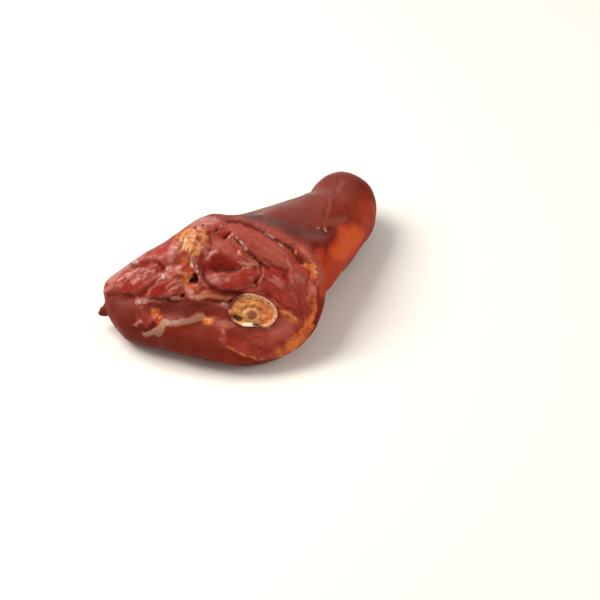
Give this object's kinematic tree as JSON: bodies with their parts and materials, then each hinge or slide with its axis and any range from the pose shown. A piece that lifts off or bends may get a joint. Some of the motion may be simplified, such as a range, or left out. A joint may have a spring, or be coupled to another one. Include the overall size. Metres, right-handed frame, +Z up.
{
  "type": "smoked pork knuckle",
  "caption": "Smoked pork knuckle cut obliquely through the leg: flared meaty cut face with muscle bundles, rind round the shank, and the leg bone with its marrow showing in the cut.",
  "frame": {"origin": "on the flat underside that the knuckle lies on, below the thick end", "axes": "+Z up, out of the surface it lies on; +X along its length, from the cut end's side tip towards the foot end; +Y away from the cut face, which looks out to -Y, -X and up"},
  "size_m": [0.2524, 0.1376, 0.09],
  "materials": {
    "rind_and_meat": "smoked pork rind and cured meat, moist satin, dark red-brown with orange fat",
    "bone": "sawn bone, cream rim with a yellow-orange spongy middle",
    "marrow": "brown cured marrow, soft and moist"
  },
  "bodies": {
    "root": {"knuckle_meat": "rind_and_meat", "leg_bone": "bone", "bone_marrow": "marrow"}
  },
  "joints": []
}
